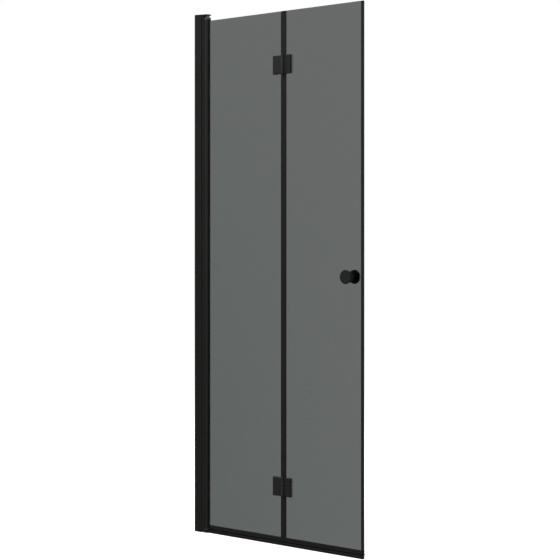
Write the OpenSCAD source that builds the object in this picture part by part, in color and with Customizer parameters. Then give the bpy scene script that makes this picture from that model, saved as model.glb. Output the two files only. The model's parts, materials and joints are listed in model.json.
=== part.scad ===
// Folding shower door: two glass leaves that turn on a wall profile and fold against each other.
// Millimetres. X runs from the wall to the closing edge, Y into the shower, Z up from the tray.
// X = 0 is the wall, Y = 0 the middle of the glass, Z = 0 the top of the shower tray.

/* [Door] */
// Height from the tray to the top of the cap
door_h = 1900; // [1700:10:2100]
// Width from the wall to the closing edge
door_w = 783; // [740:1:960]
// Distance from the wall to the axis that the door turns on
pivot_x = 52; // [50:0.5:58]
// Distance from the wall to the axis that the leaves fold on
fold_x = 430; // [400:1:520]

/* [Glass] */
// Thickness of both panes
glass_t = 6; // [5:0.5:7]
// Height of the lower glass edge above the tray
glass_z = 18; // [17:0.5:24]
// Distance from the top of the door down to the upper glass edge
glass_drop = 26; // [18:0.5:40]

/* [Wall profile] */
// Width of the wall profile, measured from the wall
wall_w = 32.5; // [30:0.5:34]
// Depth of the wall profile, from outside to inside
wall_d = 30; // [30:0.5:36]
// Wall thickness of the wall profile
wall_t = 2; // [1.5:0.1:2.4]
// Height of the guide bead inside each flange
bead_t = 1; // [0.6:0.1:1.2]
// Width of the guide bead
bead_w = 3; // [2:0.5:5]
// Bevel on the outer corners of the profiles
edge_bevel = 0.6; // [0.3:0.1:1]
// Radius of the holes for the wall screws
wall_hole_r = 2.75; // [2:0.05:3.5]
// Distance from each end of the door to its nearest wall screw
wall_hole_end = 110; // [80:5:200]
// Number of wall screws
wall_hole_count = 4; // [2:1:6]

/* [Adjusting profile] */
// Wall thickness of the adjusting profile
adj_t = 1.6; // [1.2:0.1:2]
// Gap between the adjusting profile and the guide beads
adj_play = 0.2; // [0.1:0.05:0.4]
// Distance from the wall to the open side of the adjusting profile
adj_x = 10; // [8:0.5:12]
// Distance from the pivot axis back to the shoulder of the adjusting profile
head_back = 11; // [10:0.5:11.5]
// Distance from the pivot axis back to the tips of the lips that hug the round profile
lip_back = 6; // [5.5:0.5:8]
// Half depth of the adjusting profile over its lips
head_half = 13; // [12.8:0.1:13.4]
// Wall between the chamber and the hollow that the round profile turns in
seat_wall = 2.8; // [1.5:0.1:4]

/* [Adjusting screws] */
// Radius of the screws that lock the two profiles together
adj_screw_r = 2; // [1.5:0.1:2.5]
// Length of those screws under the head
adj_screw_len = 9; // [6:0.5:12]
// Distance from the open edge of the wall profile back to the screws
adj_screw_back = 9.5; // [8.5:0.5:12]
// Distance from each end to the nearest screw
adj_screw_end = 240; // [150:10:400]
// Number of screws
adj_screw_count = 3; // [2:1:5]
// Radius of the screw heads
adj_head_r = 3.6; // [3:0.1:4.2]
// Height of the screw heads
adj_head_h = 2.2; // [1.6:0.1:2.6]
// Radius of the snap caps over the screws
screw_cap_r = 5.5; // [5:0.1:6]
// Height of the snap caps
screw_cap_h = 3.6; // [3.4:0.1:5]

/* [Pivot profile] */
// Radius of the round profile that carries the first pane
tube_r = 12.3; // [11.8:0.1:12.5]
// Wall thickness of the round profile
tube_t = 1.8; // [1.4:0.1:2.2]
// Distance from the pivot axis to the flat that the glass comes out of
flat_x = 10; // [9.5:0.1:10.5]
// Depth of the glass pocket behind the flat
pocket_depth = 4; // [3.6:0.1:4.4]
// Wall between the glass pocket and the chamber
pocket_wall = 1.5; // [1:0.1:2]
// Thickness of the rubber beside the glass in the pocket
gasket_t = 1.3; // [1:0.1:1.6]
// Thickness of the rubber behind the glass edge
gasket_bed = 0.6; // [0.4:0.1:1]
// How far the rubber lips stand out of the profile
gasket_lip = 2.7; // [1.6:0.1:3]
// Gap between the round profile and the hollow that it turns in
seat_gap = 0.4; // [0.3:0.05:0.6]

/* [Pivots] */
// Radius of the pivot pins
pivot_pin_r = 3; // [2.5:0.1:3.2]
// Running clearance around every pin that turns
pin_play = 0.05; // [0.02:0.01:0.08]
// How far the door rises when it is fully open
lift = 5; // [3:0.5:5.5]
// Angle that the door turns through
swing = 90; // [75:5:90]
// Radius of the slanted bush that rises and turns
cam_r = 10.4; // [9.5:0.1:10.5]
// Gap between the two slanted faces
cam_gap = 0.15; // [0.1:0.05:0.3]
// Height of the shoe that the lower pivot stands in
shoe_h = 13; // [12.5:0.5:15]
// Thickness of the shoe under the slanted bushes
shoe_floor = 5; // [4:0.5:5]
// Length of the bushes inside the round profile
bush_len = 34; // [25:1:60]
// Thickness of the lower bush's flange under the round profile
bush_flange = 2; // [1.5:0.1:2.5]
// Gap between the shoe and the turning profile
foot_gap = 0.5; // [0.3:0.1:0.8]
// Gap left over the top bush when the door is open
head_play = 2.9; // [2:0.1:4.5]
// Radius of the neck on the upper pin, in the gap under the cap
neck_r = 7.4; // [6.5:0.1:7.6]
// How far the neck stands in the top bush when the door is shut
neck_in = 0.6; // [0.4:0.1:1]
// Thickness of the top bush under the recess for the neck
crown_floor = 1.2; // [1:0.1:2]
// Radius of the head on the lower pin
pin_head_r = 4.5; // [4:0.1:6]
// Height of that head
pin_head_h = 1.8; // [1:0.1:3]
// Distance from the pivot axis to the flat on the lower pin
key_y = 2; // [1.6:0.1:2.2]

/* [Brackets and cap] */
// Height of the top cap
cap_h = 6; // [5.5:0.5:8]
// How much lower the top of the cap is at its nose than at the wall
cap_fall = 2.6; // [0:0.2:2.6]
// Thickness of the top of the cap at its nose
cap_skin = 1; // [0.8:0.1:1.4]
// Length of the cap's peg inside the wall profile
peg_len = 14; // [8:1:24]
// How far the round noses of the cap and of the shoe stand out past the round profile
nose_over = 0.3; // [0:0.1:0.7]
// Radius of the nose of the bracket plate
bracket_nose_r = 8; // [6:0.5:9]
// Length along the profile of the blocks that fit inside it
block_len = 28; // [26:1:50]
// Distance from the blocks' wall side to their screws
block_screw_in = 9; // [6:0.5:12]
// Distance from the end of the profile to the nearer screw
block_screw_end = 8; // [6:0.5:10]
// Distance between the two screws of a block
block_screw_pitch = 12; // [8:0.5:14]
// Radius of the block screws
block_screw_r = 2; // [1.5:0.1:2.5]
// Length of the block screws under the head
block_screw_len = 8; // [5:0.5:9]

/* [Fold hinges] */
// Height of a hinge
hinge_h = 66; // [56:1:80]
// Height of the lower hinge centre above the tray
low_hinge_z = 206; // [150:1:400]
// Distance from the top of the door down to the upper hinge centre
top_hinge_drop = 214; // [150:1:400]
// Reach of the first leaf's hinge plate from the fold axis
inner_plate_reach = 48.5; // [40:0.5:60]
// Reach of the second leaf's hinge plate from the fold axis
outer_plate_reach = 35.5; // [32:0.5:60]
// Thickness of the front hinge plates
plate_t = 7.5; // [6.5:0.1:9]
// Bevel around the front of the hinge plates
plate_bevel = 2; // [1:0.1:2.5]
// Thickness of the clamp plates behind the glass
clamp_t = 4; // [3.5:0.1:5]
// Bevel around the clamp plates
clamp_bevel = 1; // [0.5:0.1:1.5]
// How much shorter a clamp plate is than its hinge plate, at each end
clamp_inset = 3; // [0:0.5:6]
// Thickness of the rubber pads between plates and glass
pad_t = 1; // [0.6:0.1:1.5]
// How far the pads stay back from the edges of their plates
pad_inset = 1; // [0.5:0.1:2]
// Radius of the hinge barrel
barrel_r = 5; // [4.5:0.1:5.5]
// Radius of the fold pin
fold_pin_r = 2.5; // [2:0.1:2.8]
// How far the fold pin stays inside the barrel at each end
fold_pin_inset = 0.3; // [0.2:0.1:1]
// Height of the middle knuckle
mid_knuckle = 26; // [20:1:30]
// Gap that each nylon washer sits in
washer_gap = 1; // [0.8:0.1:1.2]
// Thickness of the nylon washers
washer_t = 0.7; // [0.4:0.1:0.7]
// Gap beside a turning barrel
barrel_gap = 0.3; // [0.3:0.05:0.5]
// Half width of the first leaf's clamp plate
inner_clamp_half = 14.5; // [11:0.5:18]
// Half width of the second leaf's clamp plate
outer_clamp_half = 9.5; // [9:0.5:12]

/* [Clamp screws] */
// Distance from the fold axis to the first leaf's clamp screws
inner_screw_reach = 25.4; // [22:0.2:30]
// Distance from the fold axis to the second leaf's clamp screws
outer_screw_reach = 17.5; // [17:0.1:24]
// Distance between the two clamp screws of a plate
screw_pitch = 32; // [24:1:40]
// Radius of the clamp screws
clamp_screw_r = 3; // [2.5:0.1:3.2]
// Radius of the countersunk heads
clamp_head_r = 5.5; // [5:0.1:6]
// Height of the countersunk heads
clamp_head_h = 2.6; // [2:0.1:3]
// Metal left in front of the blind screw holes
blind_skin = 2.5; // [1.5:0.1:3.5]
// Radius of the holes in the glass
glass_hole_r = 5; // [4.6:0.1:6]
// Corner radius of the hexagon sockets
socket_r = 2.3; // [1.6:0.1:2.5]
// Depth of the hexagon sockets
socket_depth = 1.8; // [1:0.1:2.4]

/* [Seals] */
// Thickness of the seal legs beside the glass
seal_t = 1.5; // [1:0.1:2]
// Height of the drip seals' upper edge above the tray
drip_top = 28.5; // [26:0.5:36]
// Reach of the drip seals' fin behind the glass, from the middle of the glass
fin_reach = 7; // [6.5:0.5:10]
// Gap between the drip seals and the threshold
drip_gap = 0.2; // [0.2:0.05:1]
// Half of the gap between the two seam seals
seam_half = 0.3; // [0.25:0.05:0.5]
// Distance from the fold axis to each glass edge
glass_back = 3; // [2.5:0.1:4]
// Width of the first leaf's seam seal on the front
inner_seam_w = 15; // [8:0.1:16]
// Width of the second leaf's seam seal on the front
outer_seam_w = 9.1; // [8:0.1:16]
// Width of the seam seals' legs behind the glass
seam_back_w = 6; // [4.5:0.5:10]
// Gap between seals that meet end to end
seal_joint = 0.3; // [0.1:0.1:0.8]

/* [Closing edge] */
// Width of the closing strip on the front
strip_w = 8.1; // [6:0.1:10]
// Width of the magnet chamber and its walls beyond the glass
strip_nose = 4.7; // [4.2:0.1:5.5]
// Width of the magnet bar
magnet_w = 2.2; // [1.8:0.1:2.2]
// Wall between the magnet and the closing face
magnet_skin = 1.2; // [1:0.1:1.5]

/* [Threshold] */
// Height of the threshold strip
sill_h = 10.5; // [8:0.5:11]
// Reach of the threshold outwards from the middle of the glass
sill_front = 6; // [5:0.5:12]
// Reach of the threshold inwards from the middle of the glass
sill_rear = 4; // [4:0.5:12]
// Height of the threshold's rear edge
sill_rear_h = 3.4; // [2:0.2:6]
// Thickness of the threshold's end caps
sill_end_t = 1.5; // [1:0.1:3]

/* [Knobs] */
// Distance from the closing edge back to the knob axis
knob_back_x = 57.4; // [45:0.2:90]
// Height of the knob axis above the tray
knob_z = 946; // [850:1:1100]
// Radius of the knob's rim
knob_r = 24; // [20:0.5:30]
// Radius of the knob where it meets the washer
knob_foot_r = 19; // [18.4:0.1:22]
// Radius of the knob's waist
knob_waist_r = 18.2; // [14:0.1:18.8]
// Distance from the washer to the waist
knob_waist_h = 2.5; // [1.5:0.1:6]
// Depth of the knob from the washer to its face
knob_depth = 24.8; // [20:0.2:32]
// Width of the cylindrical rim
knob_rim_w = 3.4; // [2:0.1:5]
// Bevel from the rim to the face
knob_bevel = 1.4; // [0.6:0.1:2]
// Thickness of the washers under the knobs
knob_washer_t = 0.8; // [0.5:0.1:1.5]
// Radius of the stud that joins the knobs
stud_r = 3; // [2.5:0.1:3.2]
// How far the stud goes into each knob
stud_grip = 12; // [8:0.5:15]
// Radius of the grub screw that holds the rear knob
grub_r = 2; // [1.5:0.1:2.5]
// Length of the grub screw
grub_len = 9; // [6:0.5:12]

/* [Hidden] */
$fn = 96;

// Finishes
BLACK = "#2b2b2d";
RUBBER = "#161617";
NYLON = "#3a3a3c";
STEEL = "#8d9094";
MAGNET = "#4a4340";
GLASS = [0.36, 0.39, 0.39, 0.55];

// How far a cut runs past the surface that it opens, and how far joined shapes run into each other
over = 1;

// Fits: a screw in its hole, a rubber part in its seat, a plastic part in a profile
screw_play = 0.05;
thread_play = 0.1;
soft_fit = 0.05;
bush_fit = 0.1;
block_fit = 0.2;

// Glass and seals
glass_half = glass_t / 2;
seal_half = glass_half + seal_t;
seal_z = drip_top + seal_joint;
seal_bevel = 0.5;
inner_edge = fold_x - glass_back;
free_edge = door_w - strip_nose;

// Wall profile and adjusting profile
wall_half = wall_d / 2;
profile_top = door_h - cap_h;
bead_half = wall_half - wall_t - bead_t;
bead_x = wall_w - bead_w;
adj_half = bead_half - adj_play;
chamber_half = adj_half - adj_t;
seat_r = tube_r + seat_gap;
head_x = pivot_x - head_back;
lip_x = pivot_x - lip_back;
chamber_x = pivot_x - seat_r - seat_wall;
wall_hole_step = (door_h - 2 * wall_hole_end) / (wall_hole_count - 1);
wall_hole_zs = [for (i = [0 : wall_hole_count - 1]) wall_hole_end + i * wall_hole_step];

// Adjusting screws
adj_screw_x = wall_w - adj_screw_back;
adj_screw_step = (profile_top - 2 * adj_screw_end) / (adj_screw_count - 1);
adj_screw_zs = [for (i = [0 : adj_screw_count - 1]) adj_screw_end + i * adj_screw_step];
slot_w = 0.8;
slot_depth = 1;
cap_crown = 1;

// Brackets and cap
block_x = adj_x + 2;
block_edge = chamber_x - 0.7;
block_half = chamber_half - block_fit;
block_screw_x = block_x + block_screw_in;
block_screw_ends = [block_screw_end, block_screw_end + block_screw_pitch];
block_head_r = 3.2;
block_head_h = 0.9;
nose_r = tube_r + nose_over;
cap_end = pivot_x + nose_r;
cap_void = door_h - cap_fall - cap_skin;
void_r = max(bracket_nose_r, neck_r) + block_fit;
plate_z = [profile_top + block_fit, cap_void - block_fit];
peg_x = [wall_t + 1, adj_x - 1];

// Turning profile and its bushes
tube_flat = pivot_x + flat_x;
pocket_x = tube_flat - pocket_depth;
pocket_half = glass_half + gasket_t;
bore_flat = pocket_x - pocket_wall;
bush_r = tube_r - tube_t - bush_fit;
bush_top = plate_z[0] - lift - head_play;
neck_play = 0.4;
neck_z = bush_top - neck_in;
recess_z = neck_z - lift - neck_play;
tube_z = [shoe_h + foot_gap + bush_flange, recess_z - crown_floor];
glass_top = min(door_h - glass_drop, tube_z[1] - soft_fit);
bore_r = pivot_pin_r + pin_play;
glass_start = pocket_x + gasket_bed;
lip_edge = tube_flat + gasket_lip;
lip_flange = 0.8;
lip_foot = 1.2;

// Lower pivot: two slanted bushes that raise the door, and a pin that can't turn
cam_slope = lift / (swing * PI / 180) / cam_r;
cam_tilt = atan(cam_slope);
cam_z = (shoe_floor + shoe_h) / 2;
cup_r = cam_r + 0.5;
fixed_cam_r = cup_r - 0.3;
key_play = 0.08;
key_top = cam_z + fixed_cam_r * cam_slope + 0.3;
pin_foot = 1.5;
pin_floor = 1;
pin_head_z = tube_z[0] + bush_len + 0.2;
upper_pin_z = bush_top - bush_len + 4;

// Fold hinges
plate_back = glass_half + pad_t;
fold_y = -plate_back - plate_t;
hinge_half = hinge_h / 2;
low_z = low_hinge_z;
top_z = door_h - top_hinge_drop;
hinge_zs = [low_z, top_z];
edge_gap = barrel_r + barrel_gap;
inner_plate_x = [fold_x - inner_plate_reach, fold_x - edge_gap];
outer_plate_x = [fold_x + edge_gap, fold_x + outer_plate_reach];
inner_screw_x = fold_x - inner_screw_reach;
outer_screw_x = fold_x + outer_screw_reach;
inner_clamp_x = [inner_screw_x - inner_clamp_half, inner_screw_x + inner_clamp_half];
outer_clamp_x = [outer_screw_x - outer_clamp_half, outer_screw_x + outer_clamp_half];
clamp_half = hinge_half - clamp_inset;
clamp_face = plate_back + clamp_t;
mid_half = mid_knuckle / 2;
knuckle_start = mid_half + washer_gap;
fold_bore_r = fold_pin_r + pin_play;
blind_y = -plate_back - plate_t + blind_skin;
screw_hole_r = clamp_screw_r + screw_play;
tip_gap = 0.5;
sleeve_r = glass_hole_r - 0.2;
sleeve_y = 0.1;
notch_half = hinge_half + 0.6;
notch_x = edge_gap - 0.4;
washer_inset = 0.4;

// Drip seals
drip_start = pivot_x + max(nose_r, head_half) + 0.5;
drip_base = glass_z - 3.5;
keel_y = [-0.8, 0.6];
keel_z = sill_h + drip_gap;
keel_half = 2.4;
keel_wall = 0.9;
keel_top = glass_z - 1.6;
fin_z = keel_z + 0.9;
fin_t = 1;

// Threshold
sill_x = [cap_end + 0.4, door_w];
sill_front_h = sill_h - 2.3;
sill_round = 1.4;
sill_crest_y = keel_y[1] + 1;

// Knobs
knob_x = door_w - knob_back_x;
knob_y = glass_half + knob_washer_t;
washer_r = knob_foot_r - 0.8;
stud_hole_r = stud_r + screw_play;
grub_y = knob_y + stud_grip / 2 + 1;
grub_top = knob_z - stud_r - 0.1;
grub_socket_r = 1.2;
grub_socket_depth = 2;

// Half section of a knob from its washer to its face: the foot draws in, then the flank flares out
foot_steps = 4;
flare_steps = 10;
rim_base = knob_depth - knob_bevel - knob_rim_w;
foot_curve = [
    for (i = [0 : foot_steps])
        [knob_waist_r + (knob_foot_r - knob_waist_r) * (1 - sin(90 * i / foot_steps)),
         knob_waist_h * i / foot_steps]
];
flare_curve = [
    for (i = [1 : flare_steps])
        [knob_waist_r + (knob_r - knob_waist_r) * (1 - cos(90 * i / flare_steps)),
         knob_waist_h + (rim_base - knob_waist_h) * i / flare_steps]
];
knob_section = concat(
    [[0, 0]], foot_curve, flare_curve,
    [[knob_r, knob_depth - knob_bevel], [knob_r - knob_bevel, knob_depth], [0, knob_depth]]
);

// A block from its low and high faces
module slab(x, y, z)
    translate([x[0], y[0], z[0]])
        cube([x[1] - x[0], y[1] - y[0], z[1] - z[0]]);

// An upright cylinder at a point of the plan
module upright_rod(x, y, z, r)
    translate([x, y, z[0]])
        cylinder(h = z[1] - z[0], r = r);

// A cylinder or cone that runs inwards, from y[0] to y[1]
module cross_rod(x, y, z, r, r_end = -1)
    translate([x, y[0], z])
        rotate([-90, 0, 0])
            cylinder(h = y[1] - y[0], r1 = r, r2 = r_end < 0 ? r : r_end);

// A plan drawn in X and Y, raised from z[0] to z[1]
module raised(z)
    translate([0, 0, z[0]])
        linear_extrude(height = z[1] - z[0])
            children();

// A section drawn in Y and Z, run along X
module run_along(x)
    translate([x[0], 0, 0])
        rotate([90, 0, 90])
            linear_extrude(height = x[1] - x[0])
                children();

// The plan of the round profile: a circle with a flat on the glass side
module tube_plan(r, flat)
    difference() {
        translate([pivot_x, 0])
            circle(r = r);
        translate([flat, -2 * r])
            square([2 * r, 4 * r]);
    }

// The plan of the cap and the shoe: straight sides, then a round nose about the pivot axis
module nosed_plan(x0, x1, half, r) {
    translate([x0, -half])
        square([x1 - x0, 2 * half]);
    translate([x1, -r])
        square([pivot_x - x1, 2 * r]);
    translate([pivot_x, 0])
        circle(r = r);
}

// A plate with a bevel around the face that looks outwards
module bevelled_plate(x, y, z, c)
    intersection() {
        raised(z)
            polygon([
                [x[0], y[1]], [x[0], y[0] + c], [x[0] + c, y[0]],
                [x[1] - c, y[0]], [x[1], y[0] + c], [x[1], y[1]]
            ]);
        run_along(x)
            polygon([
                [y[1], z[0]], [y[0] + c, z[0]], [y[0], z[0] + c],
                [y[0], z[1] - c], [y[0] + c, z[1]], [y[1], z[1]]
            ]);
    }

// A closed outline from the points of its front half and of its rear half
function joined(front, rear) = concat(front, [for (i = [len(rear) - 1 : -1 : 0]) rear[i]]);

// The heights of the two screws in the lower block and the two in the upper block
function block_screw_zs() = [for (e = block_screw_ends) each [shoe_h + e, profile_top - e]];

// The heights of the two clamp screws in a hinge
function clamp_screw_zs(z) = [z - screw_pitch / 2, z + screw_pitch / 2];

// The screw holes in both blocks, or in the profile around them
module block_screw_holes(y)
    for (z = block_screw_zs())
        cross_rod(block_screw_x, y, z, block_screw_r + thread_play);

// Fixed to the wall

// One side of the wall profile's plan, from the wall out to the bead and back along the inside
function wall_side(s) = [
    [0, s * wall_half], [wall_w - edge_bevel, s * wall_half], [wall_w, s * (wall_half - edge_bevel)],
    [wall_w, s * bead_half], [bead_x, s * bead_half], [bead_x - bead_t, s * (wall_half - wall_t)],
    [wall_t, s * (wall_half - wall_t)]
];

module wall_profile()
    color(BLACK)
    difference() {
        raised([0, profile_top])
            polygon(joined(wall_side(-1), wall_side(1)));
        for (z = wall_hole_zs)
            translate([-over, 0, z])
                rotate([0, 90, 0])
                    cylinder(h = wall_t + 2 * over, r = wall_hole_r);
        for (z = adj_screw_zs)
            cross_rod(adj_screw_x, [adj_half, wall_half + over], z, adj_screw_r + thread_play);
    }

// One side of the adjusting profile's plan, from its open side out to the tip of the lip
function adjusting_side(s) = [
    [chamber_x, s * chamber_half], [adj_x, s * chamber_half], [adj_x, s * adj_half],
    [head_x, s * adj_half], [head_x + edge_bevel, s * head_half],
    [lip_x - edge_bevel, s * head_half], [lip_x, s * (head_half - edge_bevel)]
];

module adjusting_profile()
    color(BLACK)
    difference() {
        raised([shoe_h, profile_top])
            polygon(joined(adjusting_side(-1), adjusting_side(1)));
        upright_rod(pivot_x, 0, [shoe_h - over, profile_top + over], seat_r);
        for (z = adj_screw_zs)
            cross_rod(adj_screw_x, [0, adj_half + over], z, adj_screw_r + thread_play);
        block_screw_holes([0, adj_half + over]);
    }

module adjusting_screws()
    color(STEEL)
    for (z = adj_screw_zs) {
        cross_rod(adj_screw_x, [wall_half - adj_screw_len, wall_half], z, adj_screw_r);
        difference() {
            cross_rod(adj_screw_x, [wall_half, wall_half + adj_head_h], z, adj_head_r);
            for (turn = [0, 90])
                translate([adj_screw_x, wall_half + adj_head_h, z])
                    rotate([0, turn, 0])
                        cube([adj_head_r, 2 * slot_depth, slot_w], center = true);
        }
    }

module screw_caps()
    color(BLACK)
    for (z = adj_screw_zs)
        difference() {
            union() {
                cross_rod(adj_screw_x, [wall_half, wall_half + screw_cap_h - cap_crown], z, screw_cap_r);
                cross_rod(adj_screw_x, [wall_half + screw_cap_h - cap_crown, wall_half + screw_cap_h], z,
                          screw_cap_r, screw_cap_r - cap_crown);
            }
            cross_rod(adj_screw_x, [wall_half - over, wall_half + adj_head_h + block_fit], z,
                      adj_head_r + block_fit);
        }

// Everything above the cap's top, which falls from the wall to the nose
module above_cap()
    translate([0, wall_half + over, 0])
        rotate([90, 0, 0])
            linear_extrude(height = 2 * (wall_half + over))
                polygon([
                    [-over, door_h + over], [0, door_h], [cap_end + over, door_h - cap_fall],
                    [cap_end + over, door_h + over]
                ]);

module top_cap()
    color(BLACK)
    union() {
        difference() {
            raised([profile_top, door_h])
                nosed_plan(0, wall_w, wall_half, nose_r);
            above_cap();
            raised([profile_top - over, cap_void])
                nosed_plan(block_x - block_fit, block_edge + block_fit, block_half + block_fit, void_r);
        }
        slab(peg_x, [-block_half, block_half], [profile_top - peg_len, profile_top + over]);
    }

module upper_bracket()
    color(STEEL)
    difference() {
        union() {
            raised(plate_z)
                nosed_plan(block_x, block_edge, block_half, bracket_nose_r);
            slab([block_x, block_edge], [-block_half, block_half],
                 [profile_top - block_len, plate_z[0] + over]);
        }
        upright_rod(pivot_x, 0, [plate_z[0] - over, plate_z[1] + over], bore_r);
        block_screw_holes([adj_half - block_screw_len - over, adj_half]);
    }

module upper_pivot_pin()
    color(STEEL) {
        upright_rod(pivot_x, 0, [upper_pin_z, plate_z[1]], pivot_pin_r);
        upright_rod(pivot_x, 0, [neck_z, plate_z[0]], neck_r);
    }

module block_screws()
    color(STEEL)
    for (z = block_screw_zs()) {
        cross_rod(block_screw_x, [adj_half - block_screw_len, adj_half], z, block_screw_r);
        cross_rod(block_screw_x, [adj_half, adj_half + block_head_h], z, block_head_r);
    }

// The hole with one flat side that keeps the lower pin from turning
module keyed_bore(z)
    difference() {
        upright_rod(pivot_x, 0, z, bore_r);
        slab([pivot_x - cup_r, pivot_x + cup_r], [key_y + key_play, cup_r], [z[0] - over, z[1] + over]);
    }

module pivot_shoe()
    color(BLACK)
    difference() {
        union() {
            raised([0, shoe_h])
                nosed_plan(wall_t + block_fit, head_x, adj_half, nose_r);
            slab([block_x, block_edge], [-block_half, block_half], [shoe_h - over, shoe_h + block_len]);
        }
        upright_rod(pivot_x, 0, [shoe_floor, shoe_h + over], cup_r);
        keyed_bore([pin_floor, shoe_floor + over]);
        block_screw_holes([adj_half - block_screw_len - over, adj_half]);
    }

// Everything above the slanted plane, raised by a gap
module above_slant(gap)
    translate([pivot_x, 0, cam_z + gap])
        rotate([0, -cam_tilt, 0])
            translate([-2 * tube_r, -2 * tube_r, 0])
                cube(4 * tube_r);

module fixed_cam()
    color(NYLON)
    difference() {
        upright_rod(pivot_x, 0, [shoe_floor, shoe_h + lift], fixed_cam_r);
        above_slant(0);
        keyed_bore([shoe_floor - over, shoe_h + lift]);
    }

module threshold()
    color(BLACK)
    run_along([sill_x[0] + sill_end_t, sill_x[1] - sill_end_t])
        polygon([
            [-sill_front, 0], [-sill_front, sill_front_h], [-sill_front + sill_round, sill_h - 0.3],
            [sill_crest_y, sill_h], [sill_rear - sill_round, sill_rear_h + 0.8],
            [sill_rear, sill_rear_h], [sill_rear, 0]
        ]);

module threshold_end_caps()
    color(BLACK)
    for (x = [sill_x[0], sill_x[1] - sill_end_t])
        run_along([x, x + sill_end_t])
            polygon([
                [-sill_front, 0], [-sill_front, sill_front_h], [-sill_front + sill_round, sill_h - 0.3],
                [sill_crest_y, sill_h], [sill_rear - 1, sill_h - 0.2], [sill_rear, sill_h - 1.2],
                [sill_rear, 0]
            ]);

// The lower pin rises with the door but doesn't turn

module lower_pivot_pin()
    color(STEEL) {
        difference() {
            upright_rod(pivot_x, 0, [pin_foot, pin_head_z + over], pivot_pin_r);
            slab([pivot_x - cup_r, pivot_x + cup_r], [key_y, cup_r], [pin_foot - over, key_top]);
        }
        upright_rod(pivot_x, 0, [pin_head_z, pin_head_z + pin_head_h], pin_head_r);
    }

// First leaf

module pivot_profile()
    color(BLACK)
    difference() {
        raised(tube_z)
            tube_plan(tube_r, tube_flat);
        raised([tube_z[0] - over, tube_z[1] + over])
            tube_plan(tube_r - tube_t, bore_flat);
        slab([pocket_x, tube_flat + over], [-pocket_half, pocket_half],
             [tube_z[0] - over, tube_z[1] + over]);
    }

// A bush that fills the chamber of the round profile
module bush_body(z)
    raised(z)
        tube_plan(bush_r, bore_flat - bush_fit);

// A bush with a round crown on the round profile, hollowed for the neck of the pin
module top_bush()
    color(NYLON)
    difference() {
        union() {
            upright_rod(pivot_x, 0, [tube_z[1], bush_top], tube_r);
            bush_body([bush_top - bush_len, tube_z[1] + over]);
        }
        upright_rod(pivot_x, 0, [recess_z, bush_top + over], neck_r + neck_play);
        upright_rod(pivot_x, 0, [bush_top - bush_len - over, bush_top + over], bore_r);
    }

module moving_cam()
    color(NYLON)
    difference() {
        union() {
            intersection() {
                upright_rod(pivot_x, 0, [shoe_floor, shoe_h + foot_gap + over], cam_r);
                above_slant(cam_gap);
            }
            raised([shoe_h + foot_gap, tube_z[0]])
                tube_plan(tube_r, tube_flat);
            bush_body([tube_z[0] - over, tube_z[0] + bush_len]);
        }
        upright_rod(pivot_x, 0, [shoe_floor - over, tube_z[0] + bush_len + over], bore_r);
    }

// One side of the gasket's plan, from the pocket floor out to the lip
function gasket_side(s) = [
    [pocket_x + soft_fit, s * (pocket_half - soft_fit)],
    [tube_flat + soft_fit, s * (pocket_half - soft_fit)],
    [tube_flat + soft_fit, s * (pocket_half + lip_flange)],
    [tube_flat + lip_foot, s * (pocket_half + lip_flange)],
    [lip_edge, s * glass_half]
];

module glazing_gasket()
    color(RUBBER)
    difference() {
        raised(tube_z)
            polygon(joined(gasket_side(-1), gasket_side(1)));
        slab([glass_start - soft_fit, lip_edge + over], [-glass_half, glass_half],
             [glass_z - soft_fit, glass_top + soft_fit]);
    }

// A pane with the holes for its clamp screws
module pane(x, screw_x)
    difference() {
        slab(x, [-glass_half, glass_half], [glass_z, glass_top]);
        for (hinge = hinge_zs, z = clamp_screw_zs(hinge))
            cross_rod(screw_x, [-glass_half - over, glass_half + over], z, glass_hole_r);
    }

module inner_glass()
    color(GLASS)
    pane([glass_start, inner_edge], inner_screw_x);

// A seam seal to the right of the fold axis: a channel on the glass edge, cut back at the hinges
module seam_seal(front_w)
    difference() {
        raised([seal_z, glass_top])
            polygon([
                [seam_half, -seal_half], [front_w - seal_bevel, -seal_half],
                [front_w, -seal_half + seal_bevel], [front_w, -glass_half],
                [glass_back - soft_fit, -glass_half], [glass_back - soft_fit, glass_half],
                [seam_back_w, glass_half], [seam_back_w, seal_half], [seam_half, seal_half]
            ]);
        for (z = hinge_zs)
            slab([notch_x, front_w + over], [-seal_half - over, seal_half + over],
                 [z - notch_half, z + notch_half]);
    }

module inner_seam_seal()
    color(RUBBER)
    translate([fold_x, 0, 0])
        mirror([1, 0, 0])
            seam_seal(inner_seam_w);

// A drip seal: a channel on the lower glass edge over a hollow keel, with a fin that points inwards
module drip_seal(x)
    run_along(x)
        difference() {
            polygon([
                [-seal_half, drip_top - seal_bevel], [-seal_half, drip_base], [-keel_half, drip_base],
                [keel_y[0], keel_z], [keel_y[1], keel_z], [fin_reach - 0.4, fin_z],
                [fin_reach, fin_z + fin_t], [seal_half, glass_z + fin_t],
                [seal_half, drip_top - seal_bevel], [seal_half - seal_bevel, drip_top],
                [glass_half, drip_top], [glass_half, glass_z - soft_fit],
                [-glass_half, glass_z - soft_fit], [-glass_half, drip_top],
                [-seal_half + seal_bevel, drip_top]
            ]);
            polygon([
                [-keel_half + keel_wall, keel_top], [-keel_half + keel_wall, drip_base - 0.2],
                [keel_y[0] + 0.5, keel_z + keel_wall], [keel_y[1], keel_z + keel_wall],
                [fin_reach - 1.7, fin_z + keel_wall], [seal_half - 0.1, keel_top]
            ]);
        }

module inner_drip_seal()
    color(RUBBER)
    drip_seal([drip_start, fold_x - seam_half]);

// The blind holes for the clamp screws, in the back of a hinge plate
module blind_holes(x, z)
    for (s = clamp_screw_zs(z))
        cross_rod(x, [blind_y, 0], s, screw_hole_r);

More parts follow.
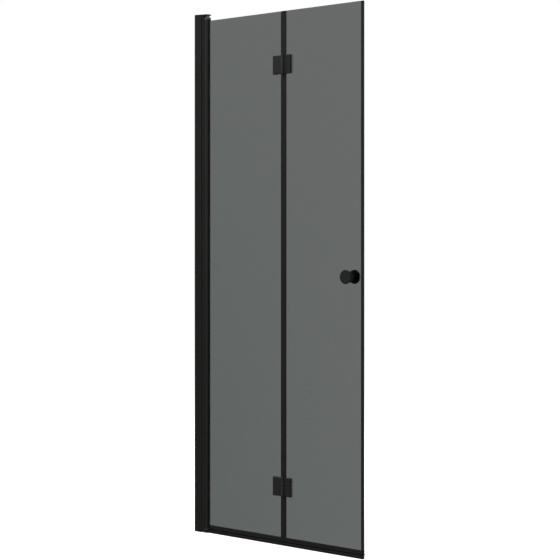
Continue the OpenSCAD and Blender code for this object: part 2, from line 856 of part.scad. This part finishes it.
// The first leaf's hinge plate with its two outer knuckles
module inner_plate(z)
    color(BLACK)
    difference() {
        union() {
            bevelled_plate(inner_plate_x, [fold_y, -plate_back], [z - hinge_half, z + hinge_half],
                           plate_bevel);
            for (s = [[z - hinge_half, z - knuckle_start], [z + knuckle_start, z + hinge_half]]) {
                upright_rod(fold_x, fold_y, s, barrel_r);
                slab([inner_plate_x[1] - plate_bevel - over, fold_x], [fold_y, fold_y + barrel_r], s);
            }
        }
        upright_rod(fold_x, fold_y, [z - hinge_half - over, z + hinge_half + over], fold_bore_r);
        blind_holes(inner_screw_x, z);
    }

// The second leaf's hinge plate with its middle knuckle
module outer_plate(z)
    color(BLACK)
    difference() {
        union() {
            bevelled_plate(outer_plate_x, [fold_y, -plate_back], [z - hinge_half, z + hinge_half],
                           plate_bevel);
            upright_rod(fold_x, fold_y, [z - mid_half, z + mid_half], barrel_r);
            slab([fold_x, outer_plate_x[0] + plate_bevel + over], [fold_y, fold_y + barrel_r],
                 [z - mid_half, z + mid_half]);
        }
        upright_rod(fold_x, fold_y, [z - hinge_half - over, z + hinge_half + over], fold_bore_r);
        blind_holes(outer_screw_x, z);
    }

// The clamp plate behind the glass, with countersunk holes
module clamp_plate(x, screw_x, z)
    color(BLACK)
    difference() {
        mirror([0, 1, 0])
            bevelled_plate(x, [-clamp_face, -plate_back], [z - clamp_half, z + clamp_half], clamp_bevel);
        for (s = clamp_screw_zs(z)) {
            cross_rod(screw_x, [0, clamp_face + over], s, screw_hole_r);
            cross_rod(screw_x, [clamp_face - clamp_head_h, clamp_face], s, screw_hole_r,
                      clamp_head_r + screw_play);
        }
    }

module upper_hinge_inner_plate() inner_plate(top_z);
module lower_hinge_inner_plate() inner_plate(low_z);
module upper_hinge_inner_clamp() clamp_plate(inner_clamp_x, inner_screw_x, top_z);
module lower_hinge_inner_clamp() clamp_plate(inner_clamp_x, inner_screw_x, low_z);

// A rubber pad in front of the glass, with sleeves that line half of each glass hole
module hinge_pad(x, half, screw_x, z)
    difference() {
        union() {
            slab([x[0] + pad_inset, x[1] - pad_inset], [-plate_back, -glass_half],
                 [z - half + pad_inset, z + half - pad_inset]);
            for (s = clamp_screw_zs(z))
                cross_rod(screw_x, [-glass_half - pad_t / 2, -sleeve_y], s, sleeve_r);
        }
        for (s = clamp_screw_zs(z))
            cross_rod(screw_x, [-plate_back - over, 0], s, screw_hole_r);
    }

// The pads of both hinges on one leaf: under the hinge plates and, mirrored, under the clamp plates
module hinge_pads(plate_x, clamp_x, screw_x)
    color(RUBBER)
    for (z = hinge_zs) {
        hinge_pad(plate_x, hinge_half, screw_x, z);
        mirror([0, 1, 0])
            hinge_pad(clamp_x, clamp_half, screw_x, z);
    }

module inner_hinge_pads() hinge_pads(inner_plate_x, inner_clamp_x, inner_screw_x);

// Countersunk screws through clamp plate, glass and hinge plate
module clamp_screws(x)
    color(STEEL)
    for (hinge = hinge_zs, z = clamp_screw_zs(hinge))
        difference() {
            union() {
                cross_rod(x, [blind_y + tip_gap, clamp_face], z, clamp_screw_r);
                cross_rod(x, [clamp_face - clamp_head_h, clamp_face], z, clamp_screw_r, clamp_head_r);
            }
            translate([x, clamp_face - socket_depth, z])
                rotate([-90, 0, 0])
                    cylinder(h = socket_depth + over, r = socket_r, $fn = 6);
        }

module inner_clamp_screws() clamp_screws(inner_screw_x);

module fold_pin(z)
    color(STEEL)
    upright_rod(fold_x, fold_y, [z - hinge_half + fold_pin_inset, z + hinge_half - fold_pin_inset],
                fold_pin_r);

module upper_fold_pin() fold_pin(top_z);
module lower_fold_pin() fold_pin(low_z);

module fold_washers()
    color(NYLON)
    for (hinge = hinge_zs, side = [-1, 1])
        translate([fold_x, fold_y, hinge + side * (mid_half + washer_gap / 2) - washer_t / 2])
            difference() {
                cylinder(h = washer_t, r = barrel_r - washer_inset);
                translate([0, 0, -over])
                    cylinder(h = washer_t + 2 * over, r = fold_bore_r);
            }

// Second leaf

module outer_glass()
    color(GLASS)
    difference() {
        pane([fold_x + glass_back, free_edge], outer_screw_x);
        cross_rod(knob_x, [-glass_half - over, glass_half + over], knob_z, glass_hole_r);
    }

module outer_seam_seal()
    color(RUBBER)
    translate([fold_x, 0, 0])
        seam_seal(outer_seam_w);

module outer_drip_seal()
    color(RUBBER)
    drip_seal([fold_x + seam_half, door_w]);

// One side of the closing strip's plan, from the glass channel out to the closing face
function strip_side(s) = [
    [free_edge + soft_fit, s * glass_half], [door_w - strip_w, s * glass_half],
    [door_w - strip_w, s * (seal_half - seal_bevel)], [door_w - strip_w + seal_bevel, s * seal_half],
    [door_w - seal_bevel, s * seal_half], [door_w, s * (seal_half - seal_bevel)]
];

module closing_strip()
    color(BLACK)
    difference() {
        raised([seal_z, glass_top])
            polygon(joined(strip_side(-1), strip_side(1)));
        slab([door_w - magnet_skin - magnet_w - bush_fit, door_w - magnet_skin + bush_fit],
             [-glass_half - bush_fit, glass_half + bush_fit], [seal_z - over, glass_top + over]);
    }

module closing_magnet()
    color(MAGNET)
    slab([door_w - magnet_skin - magnet_w, door_w - magnet_skin], [-glass_half, glass_half],
         [seal_z, glass_top]);

module upper_hinge_outer_plate() outer_plate(top_z);
module lower_hinge_outer_plate() outer_plate(low_z);
module upper_hinge_outer_clamp() clamp_plate(outer_clamp_x, outer_screw_x, top_z);
module lower_hinge_outer_clamp() clamp_plate(outer_clamp_x, outer_screw_x, low_z);
module outer_hinge_pads() hinge_pads(outer_plate_x, outer_clamp_x, outer_screw_x);
module outer_clamp_screws() clamp_screws(outer_screw_x);

// A knob on the outside of the glass, bored for the stud
module knob()
    difference() {
        translate([knob_x, -knob_y, knob_z])
            rotate([90, 0, 0])
                rotate_extrude()
                    polygon(knob_section);
        cross_rod(knob_x, [-knob_y - stud_grip - tip_gap, 0], knob_z, stud_hole_r);
    }

module front_knob()
    color(BLACK)
    knob();

module back_knob()
    color(BLACK)
    difference() {
        mirror([0, 1, 0])
            knob();
        upright_rod(knob_x, grub_y, [knob_z - 2 * knob_r, knob_z], grub_r + screw_play);
    }

module knob_stud()
    color(STEEL)
    cross_rod(knob_x, [-knob_y - stud_grip, knob_y + stud_grip], knob_z, stud_r);

module knob_washers()
    color(RUBBER)
    for (side = [0, 1])
        mirror([0, side, 0])
            difference() {
                union() {
                    cross_rod(knob_x, [-knob_y, -glass_half], knob_z, washer_r);
                    cross_rod(knob_x, [-knob_y, -sleeve_y], knob_z, sleeve_r);
                }
                cross_rod(knob_x, [-knob_y - over, 0], knob_z, stud_hole_r);
            }

module knob_grub_screw()
    color(STEEL)
    difference() {
        upright_rod(knob_x, grub_y, [grub_top - grub_len, grub_top], grub_r);
        translate([knob_x, grub_y, grub_top - grub_len - over])
            cylinder(h = grub_socket_depth + over, r = grub_socket_r, $fn = 6);
    }

wall_profile();
adjusting_profile();
adjusting_screws();
screw_caps();
top_cap();
upper_bracket();
upper_pivot_pin();
block_screws();
pivot_shoe();
fixed_cam();
threshold();
threshold_end_caps();
lower_pivot_pin();
pivot_profile();
top_bush();
moving_cam();
glazing_gasket();
inner_glass();
inner_seam_seal();
inner_drip_seal();
upper_hinge_inner_plate();
lower_hinge_inner_plate();
upper_hinge_inner_clamp();
lower_hinge_inner_clamp();
inner_hinge_pads();
inner_clamp_screws();
upper_fold_pin();
lower_fold_pin();
fold_washers();
outer_glass();
outer_seam_seal();
outer_drip_seal();
closing_strip();
closing_magnet();
upper_hinge_outer_plate();
lower_hinge_outer_plate();
upper_hinge_outer_clamp();
lower_hinge_outer_clamp();
outer_hinge_pads();
outer_clamp_screws();
front_knob();
back_knob();
knob_stud();
knob_washers();
knob_grub_screw();
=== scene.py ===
import json
import math

import bmesh
import bpy
from mathutils import Matrix, Vector


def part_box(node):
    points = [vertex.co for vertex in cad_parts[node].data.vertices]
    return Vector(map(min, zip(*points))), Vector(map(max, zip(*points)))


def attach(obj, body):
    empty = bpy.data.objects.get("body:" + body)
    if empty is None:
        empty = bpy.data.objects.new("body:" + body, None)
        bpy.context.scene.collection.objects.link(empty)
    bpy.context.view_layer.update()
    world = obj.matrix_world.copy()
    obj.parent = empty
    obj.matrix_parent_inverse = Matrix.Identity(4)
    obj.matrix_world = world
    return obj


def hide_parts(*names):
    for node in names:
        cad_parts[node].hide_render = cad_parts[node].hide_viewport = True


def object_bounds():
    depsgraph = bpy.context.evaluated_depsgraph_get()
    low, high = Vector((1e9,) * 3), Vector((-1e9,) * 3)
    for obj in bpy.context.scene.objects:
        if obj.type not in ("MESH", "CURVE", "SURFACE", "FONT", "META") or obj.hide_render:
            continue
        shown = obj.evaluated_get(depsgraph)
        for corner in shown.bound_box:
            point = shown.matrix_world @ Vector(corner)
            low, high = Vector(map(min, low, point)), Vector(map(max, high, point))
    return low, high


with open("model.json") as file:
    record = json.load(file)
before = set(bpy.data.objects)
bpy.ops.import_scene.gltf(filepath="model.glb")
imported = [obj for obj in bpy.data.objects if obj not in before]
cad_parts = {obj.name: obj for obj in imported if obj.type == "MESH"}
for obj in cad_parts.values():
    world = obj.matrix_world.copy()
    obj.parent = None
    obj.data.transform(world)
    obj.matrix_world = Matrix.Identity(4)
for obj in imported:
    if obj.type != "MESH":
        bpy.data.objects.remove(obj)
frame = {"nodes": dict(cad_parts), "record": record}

cad_box = [list(corner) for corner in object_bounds()]
WIDTH = cad_box[1][0]
HEIGHT = cad_box[1][2]
MM = 0.001

record = frame["record"]
body_of = {node: body for body, nodes in record["behaviour"]["bodies"].items() for node in nodes}


# Materials

class Wire:
    """One output socket of a node tree, for arithmetic on its values."""

    def __init__(self, tree, socket):
        self.tree = tree
        self.socket = socket

    def maths(self, operation, *values):
        return self.tree.node("ShaderNodeMath", {"operation": operation}, values)

    def __add__(self, other):
        return self.maths("ADD", self, other)

    def __radd__(self, other):
        return self.maths("ADD", other, self)

    def __sub__(self, other):
        return self.maths("SUBTRACT", self, other)

    def __rsub__(self, other):
        return self.maths("SUBTRACT", other, self)

    def __mul__(self, other):
        return self.maths("MULTIPLY", self, other)

    def __rmul__(self, other):
        return self.maths("MULTIPLY", other, self)


class Tree:
    """The node tree of a material or of the world."""

    def __init__(self, owner):
        owner.use_nodes = True
        self.owner = owner
        self.tree = owner.node_tree
        self.tree.nodes.clear()

    def node(self, kind, settings=None, sockets=(), out=0):
        """One node: its settings first, then the values or links of its sockets."""
        made = self.tree.nodes.new(kind)
        for name, value in (settings or {}).items():
            setattr(made, name, value)
        pairs = sockets.items() if isinstance(sockets, dict) else enumerate(sockets)
        for key, value in pairs:
            if isinstance(value, Wire):
                self.tree.links.new(value.socket, made.inputs[key])
            else:
                made.inputs[key].default_value = value
        return Wire(self, made.outputs[out]) if made.outputs else None

    def seat(self, stretch):
        """Object coordinates, scaled along each axis."""
        point = self.node("ShaderNodeTexCoord", out="Object")
        return self.node("ShaderNodeMapping", None, {"Vector": point, "Scale": stretch})

    def noise(self, cell, detail=2, stretch=(1, 1, 1)):
        """Noise about nought, from -0.5 to 0.5, with cells of the given size in metres."""
        cloud = self.node("ShaderNodeTexNoise", None,
                          {"Vector": self.seat(stretch), "Scale": 1 / cell, "Detail": detail})
        return cloud - 0.5

    def place(self, axis):
        """How far a point lies along one axis of the door, in metres."""
        point = self.node("ShaderNodeTexCoord", out="Object")
        return self.node("ShaderNodeSeparateXYZ", None, [point], out=axis)

    def near(self, axis, middle, reach):
        """1 within reach of a place on one axis of the door, and 0 elsewhere."""
        return self.node("ShaderNodeMath", {"operation": "COMPARE"},
                         [self.place(axis), middle, reach])

    def shade(self, dark, light, share):
        """A colour between two others, of which the first may come from another node."""
        first = dark if isinstance(dark, Wire) else (*dark, 1)
        return self.node("ShaderNodeMix", {"data_type": "RGBA", "clamp_factor": True},
                         {0: share, 6: first, 7: (*light, 1)}, out=2)

    def tone(self, pair, drift):
        """A finish's colour, drifting between a darker and a lighter one."""
        dark, light = pair
        return self.shade(dark, light, drift + 0.5)

    def bump(self, relief, depth):
        """The normal of a surface whose relief is this deep, in metres."""
        return self.node("ShaderNodeBump", None,
                         {"Height": relief, "Distance": depth, "Strength": 1.0})

    def glow(self, level):
        """Plain white light of its own."""
        return self.node("ShaderNodeEmission", None, {"Color": WHITE, "Strength": level})

    def rays(self, *kinds):
        """1 for a ray of any of these kinds, and 0 for the others."""
        found = sum(self.node("ShaderNodeLightPath", out=kind) for kind in kinds)
        return self.node("ShaderNodeMath", {"operation": "MINIMUM"}, [found, 1.0])

    def surface(self, **sockets):
        """A Principled shader on the output, with a socket's spaces written as underscores."""
        named = {name.replace("_", " "): value for name, value in sockets.items()}
        shader = self.node("ShaderNodeBsdfPrincipled", None, named)
        self.node("ShaderNodeOutputMaterial", None, {"Surface": shader})
        return self.owner


def material(name):
    return Tree(bpy.data.materials.new(name))


# How marks are drawn out: along a profile that stands or lies, and round a turned pin
UPRIGHT = (1, 1, 0.004)
LEVEL = (0.004, 1, 1)
TURNED = (0.06, 0.06, 1)
MACHINED = (0.1, 0.1, 1)

# Where a coat gets painted light: a painted highlight on the hinge knuckles round the fold axis,
# and painted light on the wall profile's lips
FOLD_X = next(joint["pos_m"][0] for joint in record["behaviour"]["joints"]
              if joint["name"] == "leaf_fold")
KNUCKLE_REACH = 5.15 * MM
LIP_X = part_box("wall_profile")[1][0]
LIP_REACH = 0.4 * MM
# how much darker the rest of the hinge coat is painted, to balance its painted knuckle highlight
HIGHLIGHT_BALANCE = 0.45


def powder_coat(name, tone, gloss, knuckle_highlight=0):
    """Matt black powder coat: a fine orange peel over a faint cloud, slicker where it is proud.

    The knuckle highlight is how much paler the coat is painted round the fold axis, a painted
    highlight along the hinge knuckles. The rest of the coat is darker by a fixed share of it, to
    balance the highlight.
    """
    t = material(name)
    peel = t.noise(cell=0.9 * MM, detail=3)
    dust = t.noise(cell=0.22 * MM, detail=1)
    cloud = t.noise(cell=60 * MM)
    drift = cloud * 0.4 + peel * 0.3 + dust * 0.15
    if knuckle_highlight:
        # painted highlight: paler along the knuckles round the fold axis, darker elsewhere
        drift = drift + t.near("X", FOLD_X, KNUCKLE_REACH) * knuckle_highlight - knuckle_highlight * HIGHLIGHT_BALANCE
    return t.surface(
        Base_Color=t.tone(tone, drift),
        Roughness=0.56 + cloud * 0.10 - peel * 0.12 + dust * 0.06,
        Specular_IOR_Level=gloss,
        Normal=t.bump(peel + dust * 0.2, depth=0.05 * MM))


def drawn_coating(name, tone, gloss, painted_height_shade=0, lip_light=None):
    """A drawn profile's thin coat: smoother, with the die's fine lines along it.

    The height shade is how much of the tone's span is painted away from head to foot, a painted
    shade darker towards the foot. The lip light is a paler colour painted on the lips' outer edge
    faces, painted light that lifts the shade on them.
    """
    t = material(name)
    draw = t.noise(cell=0.7 * MM, stretch=UPRIGHT)
    scratch = t.noise(cell=0.25 * MM, detail=1, stretch=UPRIGHT)
    cloud = t.noise(cell=60 * MM)
    drift = (cloud + draw + scratch * 0.3) * (1 - painted_height_shade)
    # painted shade: the coat is lighter at the head and darker at the foot
    if painted_height_shade:
        drift = drift + (t.place("Z") * (1 / HEIGHT) - 0.5) * painted_height_shade
    colour = t.tone(tone, drift)
    # painted light: the wall profile's outer lip faces are painted paler than their shade
    if lip_light:
        colour = t.shade(colour, lip_light, t.near("X", LIP_X, LIP_REACH))
    return t.surface(
        Base_Color=colour,
        Roughness=0.50 + cloud * 0.08 + draw * 0.14,
        Specular_IOR_Level=gloss,
        Normal=t.bump(draw + scratch * 0.3, depth=0.02 * MM))


def moulded_plastic(name, tone, gloss):
    """Moulded black plastic with a fine spark-eroded grain."""
    t = material(name)
    grain = t.noise(cell=0.45 * MM)
    cloud = t.noise(cell=18 * MM)
    return t.surface(
        Base_Color=t.tone(tone, cloud + grain * 0.3),
        Roughness=0.50 + grain * 0.12 + cloud * 0.06,
        Specular_IOR_Level=gloss,
        Normal=t.bump(grain, depth=0.03 * MM))


def plain_nylon(name, tone, gloss):
    """Dark nylon, slightly mottled, with the flow marks of its mould."""
    t = material(name)
    mottle = t.noise(cell=2.5 * MM, detail=3)
    flow = t.noise(cell=12 * MM, detail=1)
    return t.surface(
        Base_Color=t.tone(tone, mottle + flow * 0.4),
        Roughness=0.44 + mottle * 0.16,
        Specular_IOR_Level=gloss,
        Normal=t.bump(mottle, depth=0.01 * MM))


def extruded_rubber(name, tone, gloss, along):
    """Soft black profile seal with faint lines along the way it was drawn, and a little bloom."""
    t = material(name)
    draw = t.noise(cell=0.5 * MM, stretch=along)
    bloom = t.noise(cell=35 * MM, detail=3)
    return t.surface(
        Base_Color=t.tone(tone, bloom + draw * 0.4),
        Roughness=0.55 + bloom * 0.14 + draw * 0.08,
        Specular_IOR_Level=gloss,
        Normal=t.bump(draw, depth=0.02 * MM))


def magnet_rubber(name, tone):
    """Dull flexible magnet, filled with fine ferrite grains."""
    t = material(name)
    speck = t.noise(cell=0.35 * MM, detail=4)
    return t.surface(
        Base_Color=t.tone(tone, speck),
        Roughness=0.74 + speck * 0.2,
        Normal=t.bump(speck, depth=0.02 * MM))


def turned_steel(name, tone):
    """Bright stainless steel with fine turning marks."""
    t = material(name)
    marks = t.noise(cell=0.25 * MM, stretch=TURNED)
    smear = t.noise(cell=6 * MM)
    return t.surface(
        Base_Color=t.tone(tone, smear + marks * 0.4),
        Roughness=0.27 + marks * 0.14 + smear * 0.08,
        Metallic=1.0,
        Normal=t.bump(marks, depth=0.008 * MM))


def black_oxide(name, tone):
    """Black oxide on machined steel, worn a little lighter in patches."""
    t = material(name)
    patch = t.noise(cell=1.6 * MM, detail=3)
    marks = t.noise(cell=0.3 * MM, detail=1, stretch=MACHINED)
    return t.surface(
        Base_Color=t.tone(tone, patch + marks * 0.3),
        Roughness=0.38 + patch * 0.16 + marks * 0.06,
        Metallic=1.0,
        Normal=t.bump(patch + marks * 0.4, depth=0.008 * MM))


def smoked_glass(name, light, shaded_tint):
    """Grey tinted float glass, polished, with painted shade that darkens it towards the foot and
    the wall.
    """
    t = material(name)
    low = 1 - t.place("Z") * (1 / HEIGHT)
    wallward = 1 - t.place("X") * (1 / WIDTH)
    cloud = t.noise(cell=420 * MM, detail=1)
    # painted shade: darker towards the foot and, more so low down, towards the wall
    depth = low * 0.28 + wallward * (low * 0.40 + 0.30) + cloud * 0.05 + 0.05
    return t.surface(
        Base_Color=t.shade(light, shaded_tint, depth),
        Roughness=0.004 + t.noise(cell=160 * MM) * 0.004,
        IOR=1.5,
        Transmission_Weight=1.0)


# Each tone is the darkest and the lightest colour of a finish
WALL_TONE = ((0.0036, 0.0036, 0.0033), (0.0062, 0.0062, 0.0057))
# painted light for the wall profile's lip faces
LIP_PAINTED_LIGHT = (0.030, 0.030, 0.028)
SLIDE_TONE = ((0.0074, 0.0074, 0.0070), (0.0108, 0.0108, 0.0102))
TUBE_TONE = ((0.0058, 0.0058, 0.0055), (0.0142, 0.0142, 0.0135))
HINGE_TONE = ((0.0030, 0.0030, 0.0030), (0.0170, 0.0170, 0.0170))
SILL_TONE = ((0.0052, 0.0052, 0.0051), (0.0088, 0.0088, 0.0086))
KNOB_TONE = ((0.0078, 0.0092, 0.0087), (0.0122, 0.0141, 0.0134))
CAP_TONE = ((0.0072, 0.0072, 0.0072), (0.0112, 0.0112, 0.0112))
STRIP_TONE = ((0.0095, 0.0114, 0.0107), (0.0133, 0.0157, 0.0148))
NYLON_TONE = ((0.030, 0.030, 0.031), (0.048, 0.048, 0.050))
GASKET_TONE = ((0.0026, 0.0026, 0.0027), (0.0046, 0.0046, 0.0047))
SEAM_TONE = ((0.0046, 0.0046, 0.0047), (0.0086, 0.0086, 0.0087))
DRIP_TONE = ((0.0056, 0.0056, 0.0053), (0.0096, 0.0096, 0.0091))
MAGNET_TONE = ((0.030, 0.025, 0.022), (0.070, 0.060, 0.055))
STEEL_TONE = ((0.46, 0.47, 0.49), (0.64, 0.65, 0.67))
OXIDE_TONE = ((0.018, 0.018, 0.020), (0.045, 0.045, 0.048))
NECK_TONE = ((0.045, 0.046, 0.048), (0.080, 0.081, 0.083))
GLASS_LIGHT = (0.0980, 0.1060, 0.1035)
# the glass's painted shade runs from the light tint to this shaded one
GLASS_SHADED = (0.0667, 0.0808, 0.0749)

slide_coat = drawn_coating("slide_coat", SLIDE_TONE, gloss=0.06)
# the wall coat carries painted light on its lips
wall_coat = drawn_coating("wall_coat", WALL_TONE, gloss=0.06, lip_light=LIP_PAINTED_LIGHT)
# the pivot tube's coat is painted lighter at the head and darker at the foot, a painted shade
tube_coat = drawn_coating("tube_coat", TUBE_TONE, gloss=0.09, painted_height_shade=0.8)
# the hinge coat carries a painted highlight along its knuckles
hinge_coat = powder_coat("hinge_coat", HINGE_TONE, gloss=0.11, knuckle_highlight=0.6)
sill_coat = powder_coat("sill_coat", SILL_TONE, gloss=0.05)
knob_coat = powder_coat("knob_coat", KNOB_TONE, gloss=0.07)
cap_plastic = moulded_plastic("moulded_plastic", CAP_TONE, gloss=0.06)
strip_plastic = moulded_plastic("strip_plastic", STRIP_TONE, gloss=0.05)
nylon = plain_nylon("plain_nylon", NYLON_TONE, gloss=0.3)
gasket_rubber = extruded_rubber("gasket_rubber", GASKET_TONE, gloss=0.04, along=UPRIGHT)
upright_rubber = extruded_rubber("upright_rubber", SEAM_TONE, gloss=0.07, along=UPRIGHT)
level_rubber = extruded_rubber("level_rubber", DRIP_TONE, gloss=0.06, along=LEVEL)
magnet = magnet_rubber("magnet_rubber", MAGNET_TONE)
steel = turned_steel("turned_steel", STEEL_TONE)
oxide = black_oxide("black_oxide", OXIDE_TONE)
neck_oxide = black_oxide("neck_oxide", NECK_TONE)
glass = smoked_glass("smoked_glass", GLASS_LIGHT, GLASS_SHADED)


# Shapes

# Points this near are one, faces this flat are one, and edges this sharp are rounded
MERGE = 0.002 * MM
FLAT_ANGLE = math.radians(0.3)
SHARP_ANGLE = math.radians(24)
# Edges that are still sharper than this stay crisp in the shading
CRISP_ANGLE = math.radians(50)
# How many steps a rounding has, and a glass edge's ground bevel
ROUND_STEPS = 3
BEVEL_STEPS = 1


def softened(node, rounding, steps):
    """A copy of a node's solid, its flat faces whole again and its sharp edges rounded."""
    shape = bmesh.new()
    shape.from_mesh(frame["nodes"][node].data)
    bmesh.ops.remove_doubles(shape, verts=shape.verts, dist=MERGE)
    bmesh.ops.dissolve_limit(shape, angle_limit=FLAT_ANGLE, verts=shape.verts, edges=shape.edges)
    sharp = [e for e in shape.edges if e.is_manifold and e.calc_face_angle() > SHARP_ANGLE]
    bmesh.ops.bevel(shape, geom=sharp, offset=rounding, offset_type="OFFSET", segments=steps,
                    profile=0.5, affect="EDGES", clamp_overlap=True, material=-1)
    bmesh.ops.recalc_face_normals(shape, faces=shape.faces)
    return shape


def finished(node, shape, finish):
    """Makes a shape the object that stands for a node, on the node's body and in its slot."""
    name = node + "_finished"
    mesh = bpy.data.meshes.new(name)
    shape.to_mesh(mesh)
    shape.free()
    mesh.materials.append(finish)
    mesh.shade_smooth()
    mesh.set_sharp_from_angle(angle=CRISP_ANGLE)
    piece = bpy.data.objects.new(name, mesh)
    bpy.context.scene.collection.objects.link(piece)
    weighted = piece.modifiers.new("even_faces", "WEIGHTED_NORMAL")
    weighted.keep_sharp = True
    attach(piece, body_of[node])
    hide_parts(node)


# Each finish, how far its edges are rounded in millimetres, and the nodes that have it
finishes = [
    (wall_coat, 0.8, ["wall_profile"]),
    (slide_coat, 0.35, ["adjusting_profile"]),
    (sill_coat, 0.35, ["threshold"]),
    (hinge_coat, 0.35, ["upper_hinge_inner_clamp", "lower_hinge_inner_clamp",
                        "upper_hinge_outer_clamp", "lower_hinge_outer_clamp",
                        "upper_hinge_inner_plate", "lower_hinge_inner_plate",
                        "upper_hinge_outer_plate", "lower_hinge_outer_plate"]),
    (tube_coat, 0.35, ["pivot_profile"]),
    (cap_plastic, 0.5, ["top_cap", "pivot_shoe", "screw_caps"]),
    (sill_coat, 0.4, ["threshold_end_caps"]),
    (strip_plastic, 0.25, ["closing_strip"]),
    (nylon, 0.15, ["fixed_cam", "moving_cam", "top_bush", "fold_washers"]),
    (gasket_rubber, 0.25, ["glazing_gasket"]),
    (upright_rubber, 0.25, ["inner_seam_seal", "outer_seam_seal",
                            "inner_hinge_pads", "outer_hinge_pads", "knob_washers"]),
    (level_rubber, 0.2, ["inner_drip_seal", "outer_drip_seal"]),
    (magnet, 0.15, ["closing_magnet"]),
    (steel, 0.2, ["adjusting_screws", "block_screws", "lower_pivot_pin",
                  "upper_fold_pin", "lower_fold_pin", "knob_stud"]),
    (neck_oxide, 0.2, ["upper_bracket", "upper_pivot_pin"]),
    (oxide, 0.12, ["inner_clamp_screws", "outer_clamp_screws", "knob_grub_screw"]),
    (glass, 0.6, ["inner_glass", "outer_glass"]),
    (knob_coat, 0.3, ["front_knob", "back_knob"]),
]
for finish, rounding, nodes in finishes:
    steps = BEVEL_STEPS if finish is glass else ROUND_STEPS
    for node in nodes:
        finished(node, softened(node, rounding * MM, steps), finish)


# Camera

FRAME_PX = 560
FOCUS_PX = 1558
SHIFT_PX = -37.4
SENSOR_MM = 36
EYE = (4.050, -4.089, 1.062)
LOOK = (-0.6652, 0.7467, 0.0)
NEAR = 0.1
FAR = 100

scene = bpy.context.scene
camera = bpy.data.objects.new("camera", bpy.data.cameras.new("camera"))
camera.data.sensor_width = SENSOR_MM
camera.data.lens = SENSOR_MM * FOCUS_PX / FRAME_PX
camera.data.shift_y = SHIFT_PX / FRAME_PX
camera.data.clip_start = NEAR
camera.data.clip_end = FAR
camera.location = EYE
camera.rotation_euler = Vector(LOOK).to_track_quat("-Z", "Y").to_euler()
scene.collection.objects.link(camera)
scene.camera = camera


# Light, floor and background

WHITE = (1, 1, 1, 1)
SOFT_LEVEL = 0.38
SEEN_LEVEL = 1.0
FLOOR_LIFT = 0.72
FLOOR_TONE = ((0.70, 0.70, 0.70), (0.78, 0.78, 0.78))
FLOOR_REACH = 14
FLOOR_DROP = 0.3 * MM
MIDDLE = (0.4, 0, 1.0)
MIDDLE_HIGH = (0.4, 0, 1.2)


def studio_world():
    """Even soft light, and plain white for what is seen straight, mirrored or through glass."""
    world = bpy.data.worlds.new("studio")
    t = Tree(world)
    soft = t.node("ShaderNodeBackground", None, {"Color": WHITE, "Strength": SOFT_LEVEL})
    white = t.node("ShaderNodeBackground", None, {"Color": WHITE, "Strength": SEEN_LEVEL})
    seen = t.rays("Is Camera Ray", "Is Glossy Ray", "Is Transmission Ray")
    shown = t.node("ShaderNodeMixShader", None, [seen, soft, white])
    t.node("ShaderNodeOutputWorld", None, {"Surface": shown})
    return world


def pale_floor():
    """A pale floor that shows white with the door's shadow, and plain white in gloss and glass."""
    t = material("pale_floor")
    grain = t.noise(cell=3 * MM)
    pale = t.node("ShaderNodeBsdfPrincipled", None, {
        "Base Color": t.tone(FLOOR_TONE, grain), "Roughness": 0.9, "Specular IOR Level": 0.1})
    shown = t.node("ShaderNodeAddShader", None, [t.glow(FLOOR_LIFT), pale])
    mirrored = t.rays("Is Glossy Ray", "Is Transmission Ray")
    other = t.node("ShaderNodeMixShader", None, [mirrored, pale, t.glow(SEEN_LEVEL)])
    laid = t.node("ShaderNodeMixShader", None, [t.rays("Is Camera Ray"), other, shown])
    t.node("ShaderNodeOutputMaterial", None, {"Surface": laid})
    return t.owner


def softbox(name, place, target, width, height, power):
    """A large lamp at a place, turned towards a target."""
    light = bpy.data.lights.new(name, "AREA")
    light.shape = "RECTANGLE"
    light.size = width
    light.size_y = height
    light.energy = power
    lamp = bpy.data.objects.new(name, light)
    lamp.visible_camera = False
    lamp.visible_transmission = False
    lamp.location = place
    lamp.rotation_euler = (Vector(target) - Vector(place)).to_track_quat("-Z", "Y").to_euler()
    scene.collection.objects.link(lamp)


scene.world = studio_world()

plane = bmesh.new()
bmesh.ops.create_grid(plane, x_segments=2, y_segments=2, size=FLOOR_REACH,
                      matrix=Matrix.Translation((MIDDLE[0], 0, -FLOOR_DROP)))
floor_mesh = bpy.data.meshes.new("floor")
plane.to_mesh(floor_mesh)
plane.free()
floor_mesh.materials.append(pale_floor())
floor = bpy.data.objects.new("floor", floor_mesh)
scene.collection.objects.link(floor)

softbox("key_light", (-1.6, -3.4, 5.6), MIDDLE, width=3.2, height=3.2, power=260)
softbox("fill_light", (4.6, -2.4, 2.6), MIDDLE, width=2.0, height=2.0, power=38)
softbox("rim_light", (-3.8, -0.6, 3.0), MIDDLE_HIGH, width=1.6, height=2.0, power=80)
softbox("back_light", (1.2, 4.4, 3.4), MIDDLE, width=3.0, height=3.0, power=85)

scene.view_settings.view_transform = "Standard"
